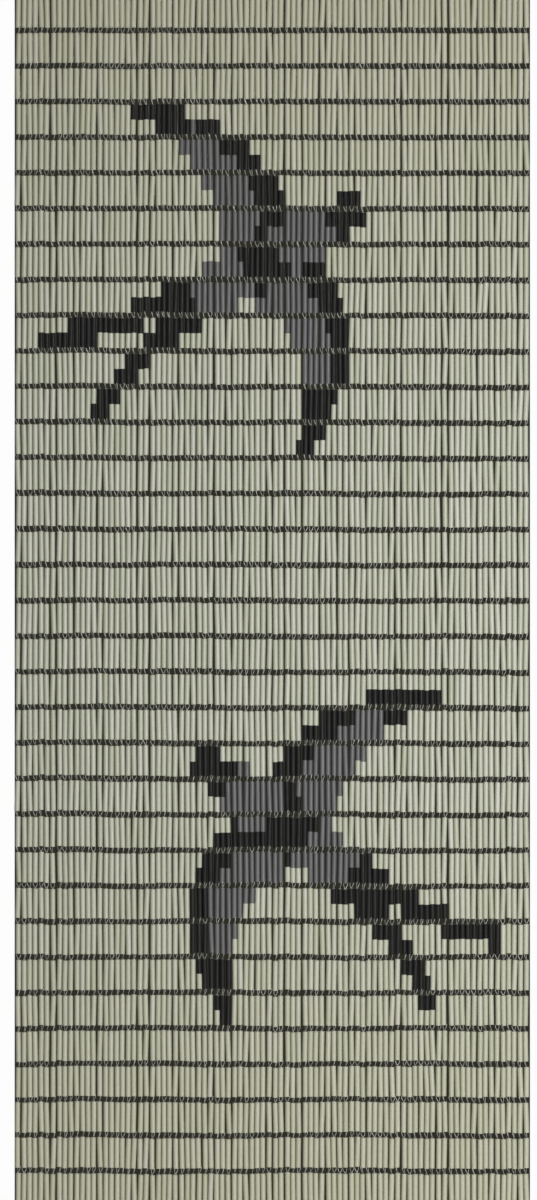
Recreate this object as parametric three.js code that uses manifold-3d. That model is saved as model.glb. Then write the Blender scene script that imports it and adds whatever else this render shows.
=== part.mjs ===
// A fly curtain for a doorway, of plastic tubes threaded on wire links.
// The strands hang side by side from a slim heading strip, and each can bend only where two links meet.
// Millimetres, +Z up. The origin is the middle of the strip's top face, and the front looks along -Y.

import * as THREE from "three";
import { mergeVertices } from "three/addons/utils/BufferGeometryUtils.js";
import Module from "manifold-3d";

// The strands, side by side
const strandCount = 88;
const strandPitch = 10.15;
const tubeDiameter = 9.3;

// The tubes of a strand, one above another with a link between
const rowCount = 34;
const rowPitch = 61.9;
const linkGap = 10.1;
const eyeWidth = 5;

// The strip that carries them
const headingHeight = 18;
const headingDepth = 12;
const headingCorner = 2.5;
const headingOverhang = 1.5;
const rootDepth = 3;

// How unevenly the strands hang: each hook is a little off its place, and the strand strays on its way down.
// The waves are in radians, from one strand to the next and over the whole drop.
const hookError = { reach: 0.3, perStrand: 7.13 };
const sideStray = { reach: 0.15, perStrand: 2.4, perDrop: 5 };
const depthStray = { reach: 0.9, perStrand: 1.7, perDrop: 3 };

// The rows under which a strand turns a little
const turningRows = [6, 12, 17, 23, 28];

const headingWidth = strandCount * strandPitch + 2 * headingOverhang;
const firstTubeTop = -headingHeight - linkGap;
const lastTubeBottom = firstTubeTop - rowCount * rowPitch + linkGap;
const strandEnd = lastTubeBottom - linkGap; // the last eye hangs as low as the others

// The height of the middle of the link under a row, the rows counted from one
function linkHeight(row) {
  return firstTubeTop - row * rowPitch + linkGap / 2;
}

// Where a strand's middle is, seen from above, at a height
function strandPlace(strand, height) {
  const share = (height - firstTubeTop) / (lastTubeBottom - firstTubeTop);
  const straight = (strand - (strandCount - 1) / 2) * strandPitch;
  const error = hookError.reach * Math.sin(hookError.perStrand * strand);
  const stray = Math.sin(sideStray.perStrand * strand + sideStray.perDrop * share);
  const lean = Math.sin(depthStray.perStrand * strand + depthStray.perDrop * share);
  return { x: straight + error + sideStray.reach * stray, y: depthStray.reach * share * lean };
}

// A closed four-sided column through rings of { x, y, z, width }, from the top down
function column(rings) {
  const sides = 4;
  const points = [];
  for (const ring of rings) {
    for (let side = 0; side < sides; side += 1) {
      const angle = (side * 2 * Math.PI) / sides;
      points.push(ring.x + (ring.width / 2) * Math.cos(angle));
      points.push(ring.y + (ring.width / 2) * Math.sin(angle));
      points.push(ring.z);
    }
  }
  const faces = [0, 1, 2, 0, 2, 3];
  for (let level = 0; level + 1 < rings.length; level += 1) {
    for (let side = 0; side < sides; side += 1) {
      const upper = level * sides + side;
      const upperNext = level * sides + ((side + 1) % sides);
      faces.push(upper, upper + sides, upperNext + sides);
      faces.push(upper, upperNext + sides, upperNext);
    }
  }
  const last = (rings.length - 1) * sides;
  faces.push(last, last + 2, last + 1, last, last + 3, last + 2);
  const geometry = new THREE.BufferGeometry();
  geometry.setAttribute("position", new THREE.Float32BufferAttribute(points, 3));
  geometry.setIndex(faces);
  return geometry;
}

// One strand: the eye that holds it, its run of tubes, and the eye at its foot
function strandGeometry(strand) {
  const stations = [
    { z: -headingHeight + rootDepth, width: eyeWidth },
    { z: firstTubeTop, width: eyeWidth },
    { z: firstTubeTop, width: tubeDiameter },
    ...turningRows.map((row) => ({ z: linkHeight(row), width: tubeDiameter })),
    { z: lastTubeBottom, width: tubeDiameter },
    { z: lastTubeBottom, width: eyeWidth },
    { z: strandEnd, width: eyeWidth },
  ];
  return column(
    stations.map(({ z, width }) => {
      const nearest = Math.min(Math.max(z, lastTubeBottom), firstTubeTop);
      return { ...strandPlace(strand, nearest), z, width };
    }),
  );
}

// The heading strip, a plain lath with rounded long edges
function headingGeometry() {
  const halfDepth = headingDepth / 2;
  const outline = new THREE.Shape();
  const corners = [
    { across: halfDepth - headingCorner, up: -headingCorner, from: 0 },
    { across: headingCorner - halfDepth, up: -headingCorner, from: Math.PI / 2 },
    { across: headingCorner - halfDepth, up: headingCorner - headingHeight, from: Math.PI },
    { across: halfDepth - headingCorner, up: headingCorner - headingHeight, from: 1.5 * Math.PI },
  ];
  for (const { across, up, from } of corners) {
    outline.absarc(across, up, headingCorner, from, from + Math.PI / 2, false);
  }
  outline.closePath();
  const geometry = new THREE.ExtrudeGeometry(outline, {
    depth: headingWidth,
    bevelEnabled: false,
    curveSegments: 3,
  });
  geometry.translate(0, 0, -headingWidth / 2);
  // The outline's first axis becomes depth, its second height, and the extrusion runs along X.
  geometry.applyMatrix4(
    new THREE.Matrix4().makeBasis(
      new THREE.Vector3(0, 1, 0),
      new THREE.Vector3(0, 0, 1),
      new THREE.Vector3(1, 0, 0),
    ),
  );
  return geometry;
}

const wasm = await Module();
wasm.setup();

// A closed geometry as a solid that can be joined to another
function solidFrom(geometry) {
  geometry.deleteAttribute("normal");
  geometry.deleteAttribute("uv");
  const merged = mergeVertices(geometry);
  return new wasm.Manifold(
    new wasm.Mesh({
      numProp: 3,
      vertProperties: merged.attributes.position.array,
      triVerts: new Uint32Array(merged.index.array),
    }),
  );
}

// A joined solid back as a geometry to draw
function geometryFrom(solid) {
  const { vertProperties, triVerts } = solid.getMesh();
  const geometry = new THREE.BufferGeometry();
  geometry.setAttribute("position", new THREE.BufferAttribute(vertProperties, 3));
  geometry.setIndex(new THREE.BufferAttribute(triVerts, 1));
  geometry.computeVertexNormals();
  return geometry;
}

// The strands' roots are one with the strip, and below it they stand apart.
let joined = solidFrom(headingGeometry());
for (let strand = 0; strand < strandCount; strand += 1) {
  joined = joined.add(solidFrom(strandGeometry(strand)));
}

const tubePlastic = new THREE.MeshStandardMaterial({
  color: 0xc3c3ad,
  roughness: 0.5,
  metalness: 0,
});

const curtain = new THREE.Mesh(geometryFrom(joined), tubePlastic);
curtain.name = "strands_on_heading";

const part = new THREE.Group();
part.add(curtain);

export default part;
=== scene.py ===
import math

import bpy
import numpy as np
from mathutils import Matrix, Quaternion, Vector


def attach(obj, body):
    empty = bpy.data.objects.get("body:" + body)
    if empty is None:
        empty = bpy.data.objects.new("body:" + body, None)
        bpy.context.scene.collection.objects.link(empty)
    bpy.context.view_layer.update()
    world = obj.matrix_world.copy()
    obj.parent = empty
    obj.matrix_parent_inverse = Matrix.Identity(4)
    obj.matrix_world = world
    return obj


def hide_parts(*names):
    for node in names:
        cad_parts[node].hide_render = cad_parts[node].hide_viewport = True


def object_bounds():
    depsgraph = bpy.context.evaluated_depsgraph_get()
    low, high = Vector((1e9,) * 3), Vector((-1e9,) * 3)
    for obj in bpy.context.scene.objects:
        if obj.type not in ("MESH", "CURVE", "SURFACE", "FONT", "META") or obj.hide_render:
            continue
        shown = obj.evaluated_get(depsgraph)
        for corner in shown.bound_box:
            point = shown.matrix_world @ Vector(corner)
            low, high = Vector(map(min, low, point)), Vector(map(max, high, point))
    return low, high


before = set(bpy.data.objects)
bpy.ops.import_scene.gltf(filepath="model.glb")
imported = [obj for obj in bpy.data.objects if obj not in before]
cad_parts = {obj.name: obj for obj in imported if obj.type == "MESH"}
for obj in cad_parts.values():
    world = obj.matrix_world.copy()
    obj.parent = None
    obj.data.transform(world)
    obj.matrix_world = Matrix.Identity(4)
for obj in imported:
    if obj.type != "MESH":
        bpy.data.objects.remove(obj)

# A fly curtain of plastic tubes on wire links. Metres, +Z up, the front looks along -Y.
solidName = "strands_on_heading"
solidBox = [list(corner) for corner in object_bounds()]
up = Vector((0, 0, 1))


# Camera, straight on to the curtain through a long lens
view = {
    "distance": 12.0,
    "seenHeight": 2.0844,
    "middle": (-0.0066, -1.0745),  # across and up, at the curtain
    "sensor": 36.0,
    "farthest": 200.0,
}


def makeCamera():
    data = bpy.data.cameras.new("camera")
    data.sensor_width = view["sensor"]
    data.lens = view["sensor"] * view["distance"] / view["seenHeight"]
    data.clip_end = view["farthest"]
    camera = bpy.data.objects.new("camera", data)
    camera.location = (view["middle"][0], -view["distance"], view["middle"][1])
    camera.rotation_euler = (math.pi / 2, 0, 0)
    bpy.context.collection.objects.link(camera)
    bpy.context.scene.camera = camera


makeCamera()
print("camera ready")


# How the strands hang: the same sizes and waves as the solid, and a finer unevenness of their own.
# Waves are in radians, from one strand or row to the next or over the whole drop.
hang = {
    "strandCount": 88,
    "rowCount": 34,
    "strandPitch": 0.01015,
    "rowPitch": 0.0619,
    "linkGap": 0.0101,
    "headingHeight": 0.018,
    "hookError": {"reach": 0.0003, "perStrand": 7.13},
    "sideStray": {"reach": 0.00015, "perStrand": 2.4, "perDrop": 5},
    "depthStray": {"reach": 0.0009, "perStrand": 1.7, "perDrop": 3},
    "ownPlace": 0.0012,
    "ownLean": 0.00012,
    "ownDepth": 0.0006,
    "levelWaves": [{"reach": 0.0011, "perStrand": 0.13, "perRow": 0.6},
                   {"reach": 0.00066, "perStrand": 0.41, "perRow": -0.9}],
    "levelTilt": 0.0012,
    "ownLevel": 0.00034,
    "linkError": 0.00008,
    "seed": 7,
}


def hangStrands():
    dice = np.random.default_rng(hang["seed"])
    strand = np.arange(hang["strandCount"])[:, None]
    row = np.arange(hang["rowCount"] + 1)[None, :]
    share = row / hang["rowCount"]
    shape = (hang["strandCount"], hang["rowCount"] + 1)
    hook, stray, lean = hang["hookError"], hang["sideStray"], hang["depthStray"]

    side = (strand - (hang["strandCount"] - 1) / 2) * hang["strandPitch"] + 0 * share
    side += hook["reach"] * np.sin(hook["perStrand"] * strand)
    side += stray["reach"] * np.sin(stray["perStrand"] * strand + stray["perDrop"] * share)
    side += dice.normal(0, hang["ownPlace"], (shape[0], 1))
    side += dice.normal(0, hang["ownLean"], shape)

    depth = lean["reach"] * share * np.sin(lean["perStrand"] * strand + lean["perDrop"] * share)
    depth += dice.normal(0, hang["ownDepth"], shape) * np.sqrt(share)

    level = -hang["headingHeight"] - hang["linkGap"] / 2 - row * hang["rowPitch"] + 0 * strand
    acrossShare = 2 * strand / (hang["strandCount"] - 1) - 1
    level -= hang["levelTilt"] * acrossShare * np.sin(math.pi * share)
    for wave in hang["levelWaves"]:
        phase = wave["perStrand"] * strand + wave["perRow"] * row
        level += wave["reach"] * np.sin(phase) * np.sqrt(share)
    level += dice.normal(0, hang["ownLevel"], (shape[0], 1)) * (share > 0)
    level += np.cumsum(dice.normal(0, hang["linkError"], shape), axis=1) * (share > 0)
    return np.stack([side, depth, level], axis=2)


# Two birds on the wing, one climbing to the right and one to the left, set out half tube by half tube.
# A stroke runs from start over bend to end, in the bird's own unit, the head towards the first number.
# It is black over the given shares of its length and ahead of its black edge, and grey elsewhere.
birdStrokes = {
    "nearStreamer": {"start": (-0.28, 0.06), "bend": (-0.62, 0.04), "end": (-1.08, 0.20),
                     "wide": (0.16, 0.11, 0.10), "black": [(0, 1)]},
    "farStreamer": {"start": (-0.28, -0.06), "bend": (-0.62, -0.04), "end": (-1.02, -0.24),
                    "wide": (0.16, 0.10, 0.095), "black": [(0, 1)]},
    "nearWing": {"start": (0.08, 0.04), "bend": (0.34, 0.52), "end": (-0.10, 1.02),
                 "wide": (0.38, 0.36, 0.05), "black": [(0.74, 1)], "blackEdge": 0.25},
    "farWing": {"start": (0.08, -0.04), "bend": (0.38, -0.50), "end": (-0.28, -0.98),
                "wide": (0.38, 0.36, 0.05), "black": [(0.74, 1)], "blackEdge": 0.25},
    "body": {"start": (0.60, 0.0), "bend": (0.10, 0.0), "end": (-0.42, 0.0),
             "wide": (0.17, 0.42, 0.15), "black": [(0, 0.15), (0.42, 0.62), (0.88, 1)]},
}
strokeSteps = 33
birds = [
    {"across": -0.040, "up": -0.500, "heading": 30, "unit": 0.34, "flip": 1},
    {"across": 0.050, "up": -1.490, "heading": 142, "unit": 0.34, "flip": -1},
]


def along(start, bend, end, share):
    return start * (1 - share) ** 2 + 2 * bend * share * (1 - share) + end * share**2


def strokeInk(name, ahead, aside):
    stroke = birdStrokes[name]
    share = np.linspace(0, 1, strokeSteps)
    lineAhead = along(stroke["start"][0], stroke["bend"][0], stroke["end"][0], share)
    lineAside = along(stroke["start"][1], stroke["bend"][1], stroke["end"][1], share)
    halfWide = along(*stroke["wide"], share) / 2
    outside = np.hypot(ahead - lineAhead, aside - lineAside) - halfWide
    nearest = int(np.argmin(outside))
    if outside[nearest] > 0:
        return None
    place = share[nearest]
    forward = (ahead - lineAhead[nearest]) / halfWide[nearest]
    if forward > stroke.get("blackEdge", 1) or any(low <= place <= high for low, high in stroke["black"]):
        return "black"
    return "grey"


def inkAt(across, height):
    ink = "beige"
    for bird in birds:
        turn = math.radians(bird["heading"])
        right = (across - bird["across"]) / bird["unit"]
        rise = (height - bird["up"]) / bird["unit"]
        ahead = right * math.cos(turn) + rise * math.sin(turn)
        aside = (rise * math.cos(turn) - right * math.sin(turn)) * bird["flip"]
        for name in birdStrokes:
            ink = strokeInk(name, ahead, aside) or ink
    return ink


# What a maker threads on a strand. A tube is wide for its wire, so its ends lie a little aside.
tube = {
    "diameter": 0.0093,
    "wall": 0.0005,
    "sides": 12,
    "offLine": 0.00085,
    "closest": 0.00933,
    "pushes": 400,  # rounds in which neighbours that would touch push each other aside
    "slide": 0.0002,  # a tube rests on the eye below it and leaves a little play above
    "slack": 0.0002,
    "cutError": 0.0035,  # of its length
    "halfMiddles": (0.25, 0.75),
    "halfShare": 0.498,  # of a whole tube's length, where two short ones take its place
    "tint": (0.5, 0.2),  # middle and spread
    "rimAngle": 1.0,  # a sharper edge is a cut rim
    "seed": 21,
}
# The lower eye carries the tube above it and is wide; the upper eye is small and hooked in the eye before it.
link = {
    "wire": 0.0012,
    "lowerEye": {"width": 0.0068, "height": 0.0123, "points": 12},
    "upperEye": {"width": 0.0036, "height": 0.0052, "points": 8},
    "taper": 0.5,
    "lean": 0.25,
    "wireSides": 4,
    "hookRise": 0.0012,  # where two eyes meet, above the next tube
    "hookStem": 0.002,  # let into the heading
    "hookTint": 0.5,
    "turnField": {"reach": 4, "perStrand": 0.035, "perRow": 0.16, "start": -0.8},
    "turnSpread": math.radians(32),
    "seed": 33,
}


def turned(direction, spin):
    lean = up.rotation_difference(Vector(direction))
    return tuple((lean @ Quaternion(up, spin)).to_euler("XYZ"))


def tubeEnds(knots, dice):
    ends = []
    for side in (knots[:, :-1], knots[:, 1:]):
        end = side.copy()
        end[:, :, 0] += dice.normal(0, tube["offLine"], end.shape[:2])
        for sweep in range(tube["pushes"]):
            push = np.clip(tube["closest"] - np.diff(end[:, :, 0], axis=0), 0, None) / 2
            end[:-1, :, 0] -= push
            end[1:, :, 0] += push
        ends.append(end)
    return ends


def linkSpot(strand, row, top, foot, spins):
    direction = (top - foot).normalized()
    # Most eyes are seen edge on, and whole fields of them hang turned the same way.
    field = link["turnField"]
    phase = field["perStrand"] * strand + field["perRow"] * row + field["start"]
    facing = math.tanh(field["reach"] * math.sin(phase)) * math.pi / 2 + spins.normal(0, link["turnSpread"])
    return {
        "row": row,
        "at": (top + foot) / 2 - direction * (hang["linkGap"] / 2 - link["hookRise"]),
        "turn": turned(direction, facing),
        "share": (top - foot).length / hang["rowPitch"],
        "tint": spins.uniform(),
    }


def tubeSpot(strand, row, top, foot, dice):
    fullLength = hang["rowPitch"] - hang["linkGap"]
    across = (strand - (hang["strandCount"] - 1) / 2) * hang["strandPitch"]
    level = -hang["headingHeight"] - hang["linkGap"] - row * hang["rowPitch"]
    inks = [inkAt(across, level - fullLength * part) for part in tube["halfMiddles"]]
    spin = dice.uniform(0, math.pi)
    tint = dice.normal(*tube["tint"])
    cut = dice.normal(1, tube["cutError"])
    direction = (top - foot).normalized()
    centre = (top + foot) / 2 - direction * (tube["slide"] + dice.normal(0, tube["slack"]))
    spot = {"row": row, "at": centre, "turn": turned(direction, spin), "share": cut, "tint": tint}
    if inks[0] == inks[1]:
        return [(inks[0], spot)]
    halves = []
    for ink, side in zip(inks, (1, -1)):
        place = centre + direction * side * fullLength / 4
        halves.append((ink, {**spot, "at": place, "share": tube["halfShare"]}))
    return halves


def threadStrands(knots):
    dice = np.random.default_rng(tube["seed"])
    spins = np.random.default_rng(link["seed"])
    tubes = {"beige": [], "black": [], "grey": []}
    links = []
    tops, feet = tubeEnds(knots, dice)
    # Two wires meet halfway between the ends of their tubes.
    knots[:, 0, 0] = tops[:, 0, 0]
    knots[:, 1:-1, 0] = (feet[:, :-1, 0] + tops[:, 1:, 0]) / 2
    knots[:, -1, 0] = feet[:, -1, 0]
    for strand in range(hang["strandCount"]):
        for row in range(hang["rowCount"]):
            top, foot = Vector(knots[strand, row]), Vector(knots[strand, row + 1])
            links.append(linkSpot(strand, row, top, foot, spins))
            top, foot = Vector(tops[strand, row]), Vector(feet[strand, row])
            for ink, spot in tubeSpot(strand, row, top, foot, dice):
                tubes[ink].append(spot)
    return tubes, links


# Geometry Nodes: a tree with named sizes, ending in realized instances with one material
def newTree(name, sizes):
    tree = bpy.data.node_groups.new(name, "GeometryNodeTree")
    tree.interface.new_socket("Geometry", in_out="INPUT", socket_type="NodeSocketGeometry")
    for label, kind in sizes.items():
        tree.interface.new_socket(label, in_out="INPUT", socket_type="NodeSocket" + kind)
    tree.interface.new_socket("Geometry", in_out="OUTPUT", socket_type="NodeSocketGeometry")
    return tree


def put(tree, kind, settings=None, **inputs):
    node = tree.nodes.new(kind)
    for key, value in (settings or {}).items():
        setattr(node, key, value)
    for key, value in inputs.items():
        socket = node.inputs[int(key[1:])] if key[0] == "i" and key[1:].isdigit() else node.inputs[key]
        if isinstance(value, bpy.types.NodeSocket):
            tree.links.new(value, socket)
        else:
            socket.default_value = value
    return node


def sums(tree, operation, first, second):
    return put(tree, "ShaderNodeMath", {"operation": operation}, i0=first, i1=second).outputs[0]


def scatter(tree, points, shape, material):
    turn = put(tree, "GeometryNodeInputNamedAttribute", {"data_type": "FLOAT_VECTOR"}, Name="turn")
    share = put(tree, "GeometryNodeInputNamedAttribute", {"data_type": "FLOAT"}, Name="share")
    rotation = put(tree, "FunctionNodeEulerToRotation", i0=turn.outputs[0])
    scale = put(tree, "ShaderNodeCombineXYZ", X=1.0, Y=1.0, Z=share.outputs[0])
    placed = put(tree, "GeometryNodeInstanceOnPoints", Points=points, Instance=shape,
                 Rotation=rotation.outputs[0], Scale=scale.outputs[0])
    real = put(tree, "GeometryNodeRealizeInstances", i0=placed.outputs[0])
    finished = put(tree, "GeometryNodeSetMaterial", Geometry=real.outputs[0], Material=material)
    out = tree.nodes.new("NodeGroupOutput")
    tree.links.new(finished.outputs[0], out.inputs[0])


def tubeTree():
    tree = newTree("tubesOnStrands", {"Diameter": "Float", "Wall": "Float", "Length": "Float",
                                      "Sides": "Int", "Material": "Material"})
    given = tree.nodes.new("NodeGroupInput").outputs
    middleWall = sums(tree, "SUBTRACT", given["Diameter"], given["Wall"])
    ring = put(tree, "GeometryNodeCurvePrimitiveCircle", Resolution=given["Sides"],
               Radius=sums(tree, "MULTIPLY", middleWall, 0.5))
    wall = put(tree, "GeometryNodeCurvePrimitiveQuadrilateral", Width=given["Wall"], Height=given["Length"])
    body = put(tree, "GeometryNodeCurveToMesh", Curve=ring.outputs[0], i1=wall.outputs[0])
    place = put(tree, "ShaderNodeSeparateXYZ", i0=tree.nodes.new("GeometryNodeInputPosition").outputs[0])
    alongTube = sums(tree, "DIVIDE", place.outputs["Z"], given["Length"])
    marked = put(tree, "GeometryNodeStoreNamedAttribute", {"data_type": "FLOAT", "domain": "POINT"},
                 Geometry=body.outputs[0], Name="along", Value=sums(tree, "ADD", alongTube, 0.5))
    smooth = put(tree, "GeometryNodeSetShadeSmooth", Geometry=marked.outputs[0])
    angle = tree.nodes.new("GeometryNodeInputMeshEdgeAngle").outputs[0]
    rim = put(tree, "FunctionNodeCompare", {"data_type": "FLOAT", "operation": "GREATER_THAN"},
              i0=angle, i1=tube["rimAngle"])
    cut = put(tree, "GeometryNodeSetShadeSmooth", {"domain": "EDGE"}, Geometry=smooth.outputs[0],
              Selection=rim.outputs[0])
    cut.inputs["Shade Smooth"].default_value = False
    scatter(tree, given["Geometry"], cut.outputs[0], given["Material"])
    return tree


def eyeShape(tree, given, end):
    ring = put(tree, "GeometryNodeCurvePrimitiveCircle", Resolution=given[end + " eye points"], Radius=1.0)
    spot = put(tree, "ShaderNodeSeparateXYZ", i0=tree.nodes.new("GeometryNodeInputPosition").outputs[0])
    halfHeight = sums(tree, "MULTIPLY", given[end + " eye height"], 0.5)
    flare = sums(tree, "ADD", sums(tree, "MULTIPLY", spot.outputs["Y"], given["Taper"]), 1.0)
    wide = sums(tree, "MULTIPLY", sums(tree, "MULTIPLY", spot.outputs["X"], flare),
                sums(tree, "MULTIPLY", given[end + " eye width"], 0.5))
    # The narrow end is hooked in the next eye, half a wire past the end of the link.
    aboveTip = sums(tree, "MULTIPLY", sums(tree, "ADD", spot.outputs["Y"], 1.0), halfHeight)
    tip = sums(tree, "MULTIPLY", sums(tree, "ADD", given["Length"], given["Wire"]), 0.5)
    height = sums(tree, "SUBTRACT", aboveTip, tip)
    if end == "Lower":
        aside = sums(tree, "MULTIPLY", aboveTip, given["Lean"])
        target = put(tree, "ShaderNodeCombineXYZ", X=wide, Y=aside, Z=height)
    else:
        target = put(tree, "ShaderNodeCombineXYZ", Y=wide, Z=sums(tree, "MULTIPLY", height, -1.0))
    bent = put(tree, "GeometryNodeSetPosition", Geometry=ring.outputs[0], Position=target.outputs[0])
    return bent.outputs[0]


def linkTree(name, withUpperEye):
    eyes = {}
    for end in ("Lower", "Upper"):
        eyes.update({end + " eye width": "Float", end + " eye height": "Float", end + " eye points": "Int"})
    tree = newTree(name, {"Wire": "Float", **eyes, "Taper": "Float", "Lean": "Float", "Length": "Float",
                          "Stem": "Float", "Material": "Material"})
    given = tree.nodes.new("NodeGroupInput").outputs
    wires = put(tree, "GeometryNodeJoinGeometry")
    tree.links.new(eyeShape(tree, given, "Lower"), wires.inputs[0])
    if withUpperEye:
        tree.links.new(eyeShape(tree, given, "Upper"), wires.inputs[0])
    tip = sums(tree, "MULTIPLY", sums(tree, "ADD", given["Length"], given["Wire"]), -0.5)
    low = sums(tree, "ADD", tip, given["Lower eye height"])
    aside = sums(tree, "MULTIPLY", given["Lower eye height"], given["Lean"])
    start = put(tree, "ShaderNodeCombineXYZ", Y=aside, Z=low)
    end = put(tree, "ShaderNodeCombineXYZ", Z=sums(tree, "ADD", low, given["Stem"]))
    if not withUpperEye:
        tree.links.new(aside, end.inputs["Y"])
    stem = put(tree, "GeometryNodeCurvePrimitiveLine", Start=start.outputs[0], End=end.outputs[0])
    tree.links.new(stem.outputs[0], wires.inputs[0])
    section = put(tree, "GeometryNodeCurvePrimitiveCircle", Resolution=link["wireSides"],
                  Radius=sums(tree, "MULTIPLY", given["Wire"], 0.5))
    body = put(tree, "GeometryNodeCurveToMesh", Curve=wires.outputs[0], i1=section.outputs[0])
    body.inputs["Fill Caps"].default_value = True
    smooth = put(tree, "GeometryNodeSetShadeSmooth", Geometry=body.outputs[0])
    scatter(tree, given["Geometry"], smooth.outputs[0], given["Material"])
    return tree


def growPiece(name, tree, spots, sizes):
    mesh = bpy.data.meshes.new(name)
    mesh.from_pydata([tuple(spot["at"]) for spot in spots], [], [])
    for label, kind, field in (("turn", "FLOAT_VECTOR", "vector"), ("share", "FLOAT", "value"),
                               ("tint", "FLOAT", "value")):
        layer = mesh.attributes.new(label, kind, "POINT")
        layer.data.foreach_set(field, np.array([spot[label] for spot in spots], dtype=np.float32).ravel())
    piece = bpy.data.objects.new(name, mesh)
    bpy.context.collection.objects.link(piece)
    grow = piece.modifiers.new("grow", "NODES")
    grow.node_group = tree
    for item in tree.interface.items_tree:
        if item.in_out == "INPUT" and item.name in sizes:
            grow[item.identifier] = sizes[item.name]
    seen = bpy.context.evaluated_depsgraph_get()
    grown = bpy.data.meshes.new_from_object(piece.evaluated_get(seen), preserve_all_data_layers=True,
                                            depsgraph=seen)
    piece.modifiers.remove(grow)
    piece.data = grown
    grown.name = name
    bpy.data.meshes.remove(mesh)
    for label in ("turn", "share"):
        spare = grown.attributes.get(label)
        if spare:
            grown.attributes.remove(spare)
    print(name, len(spots), "copies,", sum(len(face.vertices) - 2 for face in grown.polygons), "triangles")
    return piece


# Materials
def newMaterial(name):
    material = bpy.data.materials.new(name)
    material.use_nodes = True
    tree = material.node_tree
    tree.nodes.clear()
    shader = tree.nodes.new("ShaderNodeBsdfPrincipled")
    out = tree.nodes.new("ShaderNodeOutputMaterial")
    tree.links.new(shader.outputs[0], out.inputs[0])
    return material, tree, shader


def blend(tree, share, first, second):
    node = put(tree, "ShaderNodeMix", {"data_type": "RGBA"})
    for socket, value in ((node.inputs[0], share), (node.inputs[6], first), (node.inputs[7], second)):
        if isinstance(value, bpy.types.NodeSocket):
            tree.links.new(value, socket)
        else:
            socket.default_value = value
    return node.outputs[2]


def stretchedNoise(tree, noise):
    place = tree.nodes.new("ShaderNodeTexCoord").outputs["Object"]
    mapped = put(tree, "ShaderNodeMapping", Vector=place, Scale=noise["scale"])
    cloud = put(tree, "ShaderNodeTexNoise", Vector=mapped.outputs[0], Scale=1.0, Detail=noise["detail"])
    return cloud.outputs[0]


def ranged(tree, value, fromLow, fromHigh, toLow, toHigh):
    return put(tree, "ShaderNodeMapRange", i0=value, i1=fromLow, i2=fromHigh, i3=toLow, i4=toHigh).outputs[0]


# What the tubes of every colour have in common. A range says where on its scale a thing begins and ends.
wear = {
    "streaks": {"scale": (1500, 1500, 25), "detail": 3},  # drawn lines of the extruder's die
    "blotches": {"scale": (160, 160, 60), "detail": 4},
    "streakRange": (0.35, 0.75),
    "soilRange": (0.35, 0.7),
    "roughRange": (0.3, 0.7),
    "endRange": (0.44, 0.5),  # shares of a tube's length, from its middle
    "palestHeight": -1.0745,  # height of the middle of the drop
    "topAndFootToneRange": (0.35, 1.1),  # metres above and below it
    "bumpHeight": 0.0002,
}
beigePlastic = {
    "name": "beigeTubePlastic",
    "pale": (0.605, 0.605, 0.527, 1),
    "deep": (0.48, 0.503, 0.382, 1),
    "soil": (0.30, 0.28, 0.20, 1),
    "soilShare": 0.35,
    "topAndFootTone": (0.55, 0.518, 0.335, 1),
    "topAndFootToneShare": 0.38,
    "streak": 0.10,
    "rough": (0.36, 0.52),
    # painted shade on the flanks that face the neighbouring tubes: its colour and share
    "paintedFlankShade": (0.16, 0.168, 0.065, 1),
    "paintedFlankShadeShare": 0.55,
    "ior": 1.5,
    "bump": 0.25,
}
blackPlastic = {
    "name": "blackTubePlastic",
    "pale": (0.013, 0.013, 0.0135, 1),
    "deep": (0.007, 0.007, 0.0075, 1),
    "soil": (0.05, 0.05, 0.045, 1),
    "soilShare": 0.3,
    "topAndFootTone": (0.02, 0.018, 0.014, 1),
    "topAndFootToneShare": 0.2,
    "streak": 0.2,
    "rough": (0.46, 0.62),
    # painted shade on the flanks that face the neighbouring tubes: its colour and share
    "paintedFlankShade": (0.004, 0.004, 0.004, 1),
    "paintedFlankShadeShare": 0.8,
    "ior": 1.31,
    "bump": 0.25,
}
greyPlastic = {
    "name": "greyTubePlastic",
    "pale": (0.170, 0.170, 0.175, 1),
    "deep": (0.118, 0.118, 0.122, 1),
    "soil": (0.09, 0.09, 0.085, 1),
    "soilShare": 0.3,
    "topAndFootTone": (0.15, 0.145, 0.125, 1),
    "topAndFootToneShare": 0.2,
    "streak": 0.12,
    "rough": (0.38, 0.54),
    # painted shade on the flanks that face the neighbouring tubes: its colour and share
    "paintedFlankShade": (0.02, 0.02, 0.02, 1),
    "paintedFlankShadeShare": 0.9,
    "ior": 1.46,
    "bump": 0.25,
}


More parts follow.
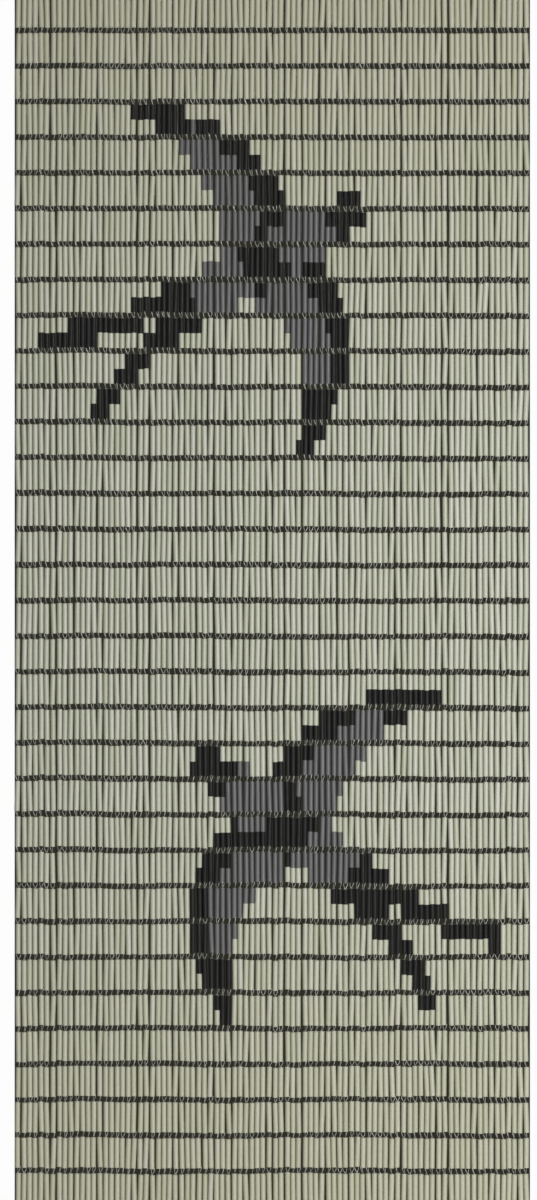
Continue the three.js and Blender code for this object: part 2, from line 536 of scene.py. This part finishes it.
def plastic(look):
    material, tree, shader = newMaterial(look["name"])
    tint = put(tree, "ShaderNodeAttribute", {"attribute_name": "tint"}).outputs["Fac"]
    place = put(tree, "ShaderNodeAttribute", {"attribute_name": "along"}).outputs["Fac"]
    streaks = stretchedNoise(tree, wear["streaks"])
    blotches = stretchedNoise(tree, wear["blotches"])
    own = blend(tree, tint, look["deep"], look["pale"])
    # Yellower and a little darker towards the top and the foot, palest at the middle of the drop.
    spot = tree.nodes.new("ShaderNodeTexCoord").outputs["Object"]
    drop = put(tree, "ShaderNodeSeparateXYZ", i0=spot).outputs["Z"]
    fromMiddleRow = sums(tree, "ABSOLUTE", sums(tree, "SUBTRACT", drop, wear["palestHeight"]), 0.0)
    yellowed = ranged(tree, fromMiddleRow, *wear["topAndFootToneRange"], 0, look["topAndFootToneShare"])
    own = blend(tree, yellowed, own, look["topAndFootTone"])
    lined = blend(tree, ranged(tree, streaks, *wear["streakRange"], 0, look["streak"]), own, look["soil"])
    fromMiddle = sums(tree, "ABSOLUTE", sums(tree, "SUBTRACT", place, 0.5), 0.0)
    nearEnd = ranged(tree, fromMiddle, *wear["endRange"], 0, 1)
    blotched = ranged(tree, blotches, *wear["soilRange"], 0, look["soilShare"])
    soiled = sums(tree, "MULTIPLY", nearEnd, blotched)
    used = blend(tree, soiled, lined, look["soil"])
    # Painted shade: where the surface faces front or back the tube keeps its own colour; towards the flanks
    # that face the neighbouring tubes it is darkened, where shade falls between them.
    normal = tree.nodes.new("ShaderNodeNewGeometry").outputs["Normal"]
    outward = put(tree, "ShaderNodeSeparateXYZ", i0=normal).outputs["Y"]
    shaded = sums(tree, "SUBTRACT", 1.0, sums(tree, "ABSOLUTE", outward, 0.0))
    share = sums(tree, "MULTIPLY", shaded, look["paintedFlankShadeShare"])
    tree.links.new(blend(tree, share, used, look["paintedFlankShade"]), shader.inputs["Base Color"])
    rough = ranged(tree, blotches, *wear["roughRange"], *look["rough"])
    tree.links.new(rough, shader.inputs["Roughness"])
    bump = put(tree, "ShaderNodeBump", Strength=look["bump"], Distance=wear["bumpHeight"], Height=streaks)
    tree.links.new(bump.outputs[0], shader.inputs["Normal"])
    shader.inputs["IOR"].default_value = look["ior"]
    return material


wireSteel = {
    "bright": (0.66, 0.66, 0.63, 1),
    "dull": (0.40, 0.40, 0.37, 1),
    "metallic": 0.6,
    "rough": (0.36, 0.6),
    "spangle": {"scale": (900, 900, 500), "detail": 3},
    "spangleRange": (0.4, 0.7),
    "spangleShare": 0.6,
    "roughRange": (0.3, 0.7),
}


def steel(look):
    material, tree, shader = newMaterial("galvanisedWire")
    tint = put(tree, "ShaderNodeAttribute", {"attribute_name": "tint"}).outputs["Fac"]
    spangle = stretchedNoise(tree, look["spangle"])
    own = blend(tree, tint, look["dull"], look["bright"])
    dulled = ranged(tree, spangle, *look["spangleRange"], 0, look["spangleShare"])
    tree.links.new(blend(tree, dulled, own, look["dull"]), shader.inputs["Base Color"])
    rough = ranged(tree, spangle, *look["roughRange"], *look["rough"])
    tree.links.new(rough, shader.inputs["Roughness"])
    shader.inputs["Metallic"].default_value = look["metallic"]
    return material


# Tubes, by colour, and the beige ones in an upper and a lower half
knots = hangStrands()
tubeSpots, linkSpots = threadStrands(knots)
tubesOn = tubeTree()
halfway = hang["rowCount"] // 2
tubePieces = {
    "beigeTubesUpper": ([spot for spot in tubeSpots["beige"] if spot["row"] < halfway], "beige_tube"),
    "beigeTubesLower": ([spot for spot in tubeSpots["beige"] if spot["row"] >= halfway], "beige_tube"),
    "blackTubes": (tubeSpots["black"], "black_tube"),
    "greyTubes": (tubeSpots["grey"], "grey_tube"),
}
tubeMaterials = {
    "beige_tube": plastic(beigePlastic),
    "black_tube": plastic(blackPlastic),
    "grey_tube": plastic(greyPlastic),
}
made = []
for name, (spots, slotName) in tubePieces.items():
    piece = growPiece(name, tubesOn, spots, {
        "Diameter": tube["diameter"], "Wall": tube["wall"], "Sides": tube["sides"],
        "Length": hang["rowPitch"] - hang["linkGap"], "Material": tubeMaterials[slotName]})
    made.append((piece, slotName))
print("tubes threaded")

# Wire links, in three bands of rows, and the hooks under the heading
wireMaterial = steel(wireSteel)
linkSizes = {
    "Wire": link["wire"], "Taper": link["taper"], "Lean": link["lean"], "Length": hang["rowPitch"],
    "Stem": hang["rowPitch"] + link["wire"] - link["lowerEye"]["height"] - link["upperEye"]["height"],
    "Material": wireMaterial,
}
for end, eye in (("Lower", link["lowerEye"]), ("Upper", link["upperEye"])):
    for size, value in eye.items():
        linkSizes[end + " eye " + size] = value
wholeLinks = linkTree("wireLinks", True)
bands = {"linksUpper": (0, 11), "linksMiddle": (11, 22), "linksLower": (22, 34)}
for name, (first, last) in bands.items():
    spots = [spot for spot in linkSpots if first <= spot["row"] < last]
    made.append((growPiece(name, wholeLinks, spots, linkSizes), "wire"))
print("links hooked together")


# Hooks in the heading's underside: the lower eye of a link on a short stem let into the strip
def hookSpots():
    spots = []
    firstLinks = [spot for spot in linkSpots if spot["row"] == 0]
    for place, below in zip(knots[:, 0], firstLinks):
        at = Vector(place) + up * (hang["rowPitch"] / 2 - hang["linkGap"] / 2 + link["hookRise"])
        spots.append({"at": at, "turn": (0, 0, below["turn"][2]), "share": 1, "tint": link["hookTint"]})
    return spots


hookSizes = {**linkSizes, "Stem": link["hookStem"]}
made.append((growPiece("headingHooks", linkTree("hooks", False), hookSpots(), hookSizes), "wire"))


# Heading strip: a slim lath with rounded long edges
heading = {"depth": 0.012, "corner": 0.0025, "cornerSteps": 4, "endSoftening": 0.0006}


def makeHeading():
    low, high = Vector(solidBox[0]), Vector(solidBox[1])
    bpy.ops.mesh.primitive_cube_add(size=1)
    strip = bpy.context.object
    strip.name = strip.data.name = "headingStrip"
    strip.data.transform(strip.matrix_world)
    for vertex in strip.data.vertices:
        vertex.co.x = low.x if vertex.co.x < 0 else high.x
        vertex.co.y *= heading["depth"]
        vertex.co.z = (vertex.co.z - 0.5) * hang["headingHeight"]  # the top face lies at zero
    longEdges = strip.data.attributes.new("bevel_weight_edge", "FLOAT", "EDGE")
    for edge in strip.data.edges:
        ends = [strip.data.vertices[index].co for index in edge.vertices]
        isLong = abs(ends[0].x - ends[1].x) > hang["headingHeight"]
        longEdges.data[edge.index].value = 1.0 if isLong else heading["endSoftening"] / heading["corner"]
    bevel = strip.modifiers.new("softEdges", "BEVEL")
    bevel.width = heading["corner"]
    bevel.segments = heading["cornerSteps"]
    bevel.limit_method = "WEIGHT"
    strip.data.polygons.foreach_set("use_smooth", [True] * len(strip.data.polygons))
    return strip


strip = makeHeading()
# Its plastic carries the same painted shade wherever the surface faces up, down or sideways rather than front
# or back.
strip.data.materials.append(plastic({**beigePlastic, "name": "headingPlastic"}))
made.append((strip, "heading"))
print("heading strip made")

for piece, slotName in made:
    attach(piece, "root")
    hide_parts(solidName)


# Stage: a pale floor under the curtain, and a dark cloth far behind it that shows only between the tubes
stage = {
    "floorBelow": 0.12,
    "floorAcross": 1.6,
    "floorFront": -1.5,
    "floorBack": 1.5,
    "floorColour": (0.80, 0.80, 0.79, 1),
    "floorRough": 0.7,
    "clothBehind": 60.0,
    "clothColour": (0.165, 0.165, 0.11, 1),
    "clothRough": 1.0,
    "clothReach": 0.4476,  # to either side, as seen at the curtain
    "clothRise": 0.52,  # up and down, as a share of what the camera sees
}


def flatPiece(name, corners, colour, rough):
    mesh = bpy.data.meshes.new(name)
    mesh.from_pydata(corners, [], [(0, 1, 2, 3)])
    piece = bpy.data.objects.new(name, mesh)
    bpy.context.collection.objects.link(piece)
    material, tree, shader = newMaterial(name)
    shader.inputs["Base Color"].default_value = colour
    shader.inputs["Roughness"].default_value = rough
    mesh.materials.append(material)


def makeStage():
    low = solidBox[0][2] - stage["floorBelow"]
    wide, front, back = stage["floorAcross"], stage["floorFront"], stage["floorBack"]
    floor = [(-wide, front, low), (wide, front, low), (wide, back, low), (-wide, back, low)]
    flatPiece("floor", floor, stage["floorColour"], stage["floorRough"])
    # Seen from the camera, the cloth ends where the curtain does.
    grown = (view["distance"] + stage["clothBehind"]) / view["distance"]
    eyeAcross, eyeUp = view["middle"]
    left = eyeAcross + (-stage["clothReach"] - eyeAcross) * grown
    right = eyeAcross + (stage["clothReach"] - eyeAcross) * grown
    tall = view["seenHeight"] * grown * stage["clothRise"]
    far = stage["clothBehind"]
    cloth = [(left, far, eyeUp - tall), (right, far, eyeUp - tall),
             (right, far, eyeUp + tall), (left, far, eyeUp + tall)]
    flatPiece("darkCloth", cloth, stage["clothColour"], stage["clothRough"])


makeStage()


# Light: a large soft lamp in front on the right, a weak one on the left, one behind, and a dim room
lamps = {
    "front": {"at": (1.60, -3.2, -0.95), "size": (1.0, 1.6), "power": 99},
    "frontLeft": {"at": (-1.4, -4.6, -0.3), "size": (1.6, 2.0), "power": 8},
    "behind": {"at": (1.2, 4.2, 1.2), "size": (2.4, 2.4), "power": 120},
}
room = {"forCamera": (0.98, 0.98, 0.98, 1), "forLight": (0.15, 0.15, 0.15, 1)}


def makeLight():
    aim = Vector((0, 0, view["middle"][1]))
    for name, lamp in lamps.items():
        data = bpy.data.lights.new(name, "AREA")
        data.shape = "RECTANGLE"
        data.size, data.size_y = lamp["size"]
        data.energy = lamp["power"]
        holder = bpy.data.objects.new(name, data)
        holder.location = lamp["at"]
        holder.rotation_euler = (aim - Vector(lamp["at"])).to_track_quat("-Z", "Y").to_euler()
        holder.visible_camera = False
        bpy.context.collection.objects.link(holder)
    world = bpy.data.worlds.new("room")
    world.use_nodes = True
    tree = world.node_tree
    tree.nodes.clear()
    seen = tree.nodes.new("ShaderNodeLightPath").outputs["Is Camera Ray"]
    colour = blend(tree, seen, room["forLight"], room["forCamera"])
    sky = put(tree, "ShaderNodeBackground", Color=colour, Strength=1.0)
    out = tree.nodes.new("ShaderNodeOutputWorld")
    tree.links.new(sky.outputs[0], out.inputs[0])
    bpy.context.scene.world = world
    bpy.context.scene.view_settings.view_transform = "Standard"


makeLight()
print("stage and light ready")
